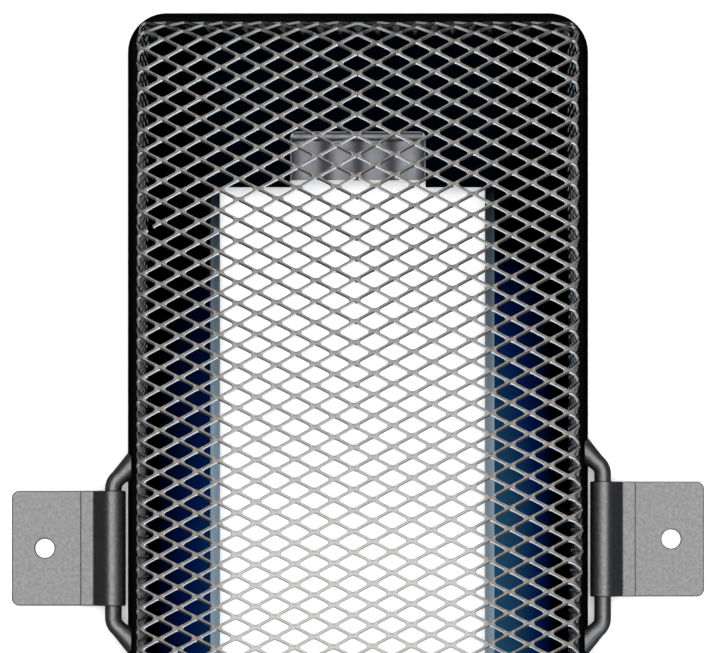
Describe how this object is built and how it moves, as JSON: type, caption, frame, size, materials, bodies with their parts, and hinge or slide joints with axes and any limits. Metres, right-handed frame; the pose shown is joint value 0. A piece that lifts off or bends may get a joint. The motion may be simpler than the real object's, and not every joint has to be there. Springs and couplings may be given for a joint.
{
  "type": "bulb cage guard",
  "caption": "Long shallow cage guard of black expanded metal on a rod rim, with a windowed back plate and a hinged screw lug on each long side.",
  "frame": {"origin": "centre of the back plane that the rim frame and the lugs lie in, under the middle of the guard", "axes": "+Z out of the back plane through the mesh face, +Y along the guard's length towards the notch in the back plate, +X across the guard towards the right lug"},
  "size_m": [0.187, 0.29, 0.048],
  "materials": {
    "coated_steel": "semi-gloss black powder coat",
    "coated_mesh": "semi-gloss black powder coat",
    "coated_plate": "semi-gloss black powder coat",
    "coated_lug": "semi-gloss black powder coat",
    "bright_steel": "bright plated spring steel"
  },
  "bodies": {
    "guard": {"rim_frame": "coated_steel", "mesh_basket": "coated_mesh", "back_plate": "coated_plate", "notch_clip": "bright_steel", "left_loop": "coated_steel", "right_loop": "coated_steel"},
    "left_lug": {"left_lug": "coated_lug"},
    "right_lug": {"right_lug": "coated_lug"}
  },
  "joints": [
    {"name": "left_lug_hinge", "type": "hinge", "parent": "guard", "child": "left_lug", "pos_m": [-0.06585, 0.0008, 0.00335], "axis": [0, 1, 0], "range_deg": [0, 105]},
    {"name": "right_lug_hinge", "type": "hinge", "parent": "guard", "child": "right_lug", "pos_m": [0.06585, 0.0033, 0.00335], "axis": [0, -1, 0], "range_deg": [0, 105]}
  ]
}
